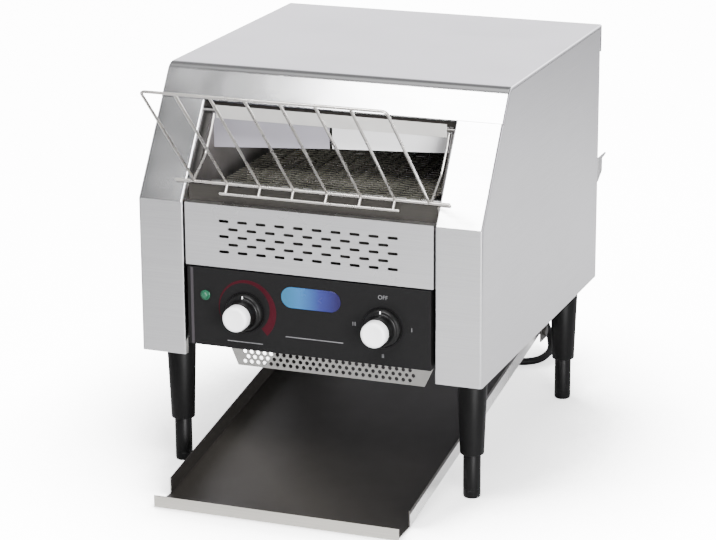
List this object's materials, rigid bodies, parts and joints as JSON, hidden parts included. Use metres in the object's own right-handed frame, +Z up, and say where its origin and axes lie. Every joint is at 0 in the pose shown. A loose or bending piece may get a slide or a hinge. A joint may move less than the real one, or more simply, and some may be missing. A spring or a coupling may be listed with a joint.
{
  "type": "conveyor toaster",
  "caption": "Countertop conveyor toaster with a wire feed rack, mesh belt, quartz heaters, control panel and sloping toast tray, on tall legs with screw feet.",
  "frame": {"origin": "middle of the toaster's outline without its cord, on the counter that the feet stand on", "axes": "+Z up, +Y from the feed side towards the back, +X to the right of somebody who faces the controls"},
  "size_m": [0.368, 0.683, 0.4347],
  "materials": {
    "brushed_casing": "brushed stainless",
    "black_panel": "semi-gloss black",
    "dark_steel": "heat-darkened",
    "plain_steel": "plain sheet",
    "bright_plate": "bright",
    "reflector_plate": "satin",
    "quartz": "frosted quartz",
    "white_ceramic": "ceramic",
    "mesh_steel": "heat-darkened wire mesh",
    "turned_steel": "turned",
    "bronze_bush": "sintered bronze",
    "wheel_steel": "oiled",
    "motor_paint": "satin grey",
    "moulded_ivory": "moulded",
    "moulded_green": "moulded",
    "knob_black": "moulded",
    "knob_pale": "satin",
    "lamp_green": "translucent",
    "badge_blue": "gloss",
    "fan_black": "moulded",
    "leg_black": "satin black",
    "tray_steel": "plain sheet",
    "rack_wire": "bright wire",
    "cord_rubber": "matt black",
    "pin_nickel": "nickel plated"
  },
  "bodies": {
    "toaster": {"left_side_cover": "brushed_casing", "right_side_cover": "brushed_casing", "top_cover": "brushed_casing", "rear_panel": "plain_steel", "base_plate": "plain_steel", "front_vent_panel": "brushed_casing", "control_panel": "black_panel", "feed_lip": "dark_steel", "exit_guard": "plain_steel", "rear_spacers": "plain_steel", "inner_wall_left": "plain_steel", "inner_wall_right": "plain_steel", "upper_guard": "plain_steel", "shield_left": "reflector_plate", "shield_right": "bright_plate", "upper_reflector": "reflector_plate", "lower_reflector": "reflector_plate", "heat_barrier": "plain_steel", "toast_chute": "plain_steel", "heaters": "quartz", "heater_ends": "white_ceramic", "conveyor_belt": "mesh_steel", "belt_rails": "plain_steel", "shaft_bushes": "bronze_bush", "drive_chain": "wheel_steel", "gear_motor": "motor_paint", "speed_control": "moulded_green", "selector_switch": "moulded_ivory", "lamp": "lamp_green", "badge_plate": "badge_blue", "terminal_block": "moulded_ivory", "fan_frame": "fan_black", "legs": "leg_black", "tray_rod": "turned_steel", "tray_brackets": "plain_steel", "rack_studs": "turned_steel", "rear_screws": "turned_steel", "cord_gland": "cord_rubber", "power_cord": "cord_rubber", "cord_coil": "cord_rubber", "plug": "cord_rubber", "plug_pins": "pin_nickel"},
    "speed_knob": {"speed_knob": "knob_black", "speed_cap": "knob_pale"},
    "selector_knob": {"selector_knob": "knob_black", "selector_cap": "knob_pale"},
    "feed_rack": {"feed_rack": "rack_wire", "rack_hooks": "rack_wire"},
    "toast_tray": {"toast_tray": "tray_steel"},
    "belt_drive": {"drive_shaft": "turned_steel", "drive_sprockets": "wheel_steel", "chain_wheel": "wheel_steel"},
    "belt_idler": {"idler_shaft": "turned_steel", "idler_sprockets": "wheel_steel"},
    "motor_sprocket": {"motor_sprocket": "wheel_steel"},
    "fan_rotor": {"fan_rotor": "fan_black"},
    "foot_front_left": {"foot_front_left": "leg_black"},
    "foot_front_right": {"foot_front_right": "leg_black"},
    "foot_rear_left": {"foot_rear_left": "leg_black"},
    "foot_rear_right": {"foot_rear_right": "leg_black"}
  },
  "joints": [
    {"name": "speed_knob_turn", "type": "hinge", "parent": "toaster", "child": "speed_knob", "pos_m": [-0.0675, -0.163, 0.185], "axis": [0, 1, 0], "range_deg": [0, 270]},
    {"name": "selector_knob_turn", "type": "hinge", "parent": "toaster", "child": "selector_knob", "pos_m": [0.0805, -0.163, 0.185], "axis": [0, 1, 0], "range_deg": [0, 270]},
    {"name": "feed_rack_lift", "type": "hinge", "parent": "toaster", "child": "feed_rack", "pos_m": [0, -0.15208, 0.314], "axis": [-1, 0, 0], "range_deg": [0, 12]},
    {"name": "toast_tray_lift", "type": "hinge", "parent": "toaster", "child": "toast_tray", "pos_m": [0, 0.212, 0.072], "axis": [-1, 0, 0], "range_deg": [0, 12]},
    {"name": "belt_drive_spin", "type": "hinge", "parent": "toaster", "child": "belt_drive", "pos_m": [0, 0.15, 0.279], "axis": [1, 0, 0], "continuous": true},
    {"name": "belt_idler_spin", "type": "hinge", "parent": "toaster", "child": "belt_idler", "pos_m": [0, -0.118, 0.279], "axis": [1, 0, 0], "continuous": true},
    {"name": "motor_spin", "type": "hinge", "parent": "toaster", "child": "motor_sprocket", "pos_m": [0.155, 0.05, 0.2], "axis": [1, 0, 0], "continuous": true},
    {"name": "fan_spin", "type": "hinge", "parent": "toaster", "child": "fan_rotor", "pos_m": [-0.07, -0.051, 0.16], "axis": [0, 0, 1], "continuous": true},
    {"name": "foot_front_left_screw", "type": "slide", "parent": "toaster", "child": "foot_front_left", "axis": [0, 0, 1], "range_m": [-0.015, 0]},
    {"name": "foot_front_right_screw", "type": "slide", "parent": "toaster", "child": "foot_front_right", "axis": [0, 0, 1], "range_m": [-0.015, 0]},
    {"name": "foot_rear_left_screw", "type": "slide", "parent": "toaster", "child": "foot_rear_left", "axis": [0, 0, 1], "range_m": [-0.015, 0]},
    {"name": "foot_rear_right_screw", "type": "slide", "parent": "toaster", "child": "foot_rear_right", "axis": [0, 0, 1], "range_m": [-0.015, 0]}
  ],
  "couplings": [
    {"joint": "motor_spin", "follows": "belt_drive_spin", "ratio": 2},
    {"joint": "belt_idler_spin", "follows": "belt_drive_spin", "ratio": 1}
  ]
}
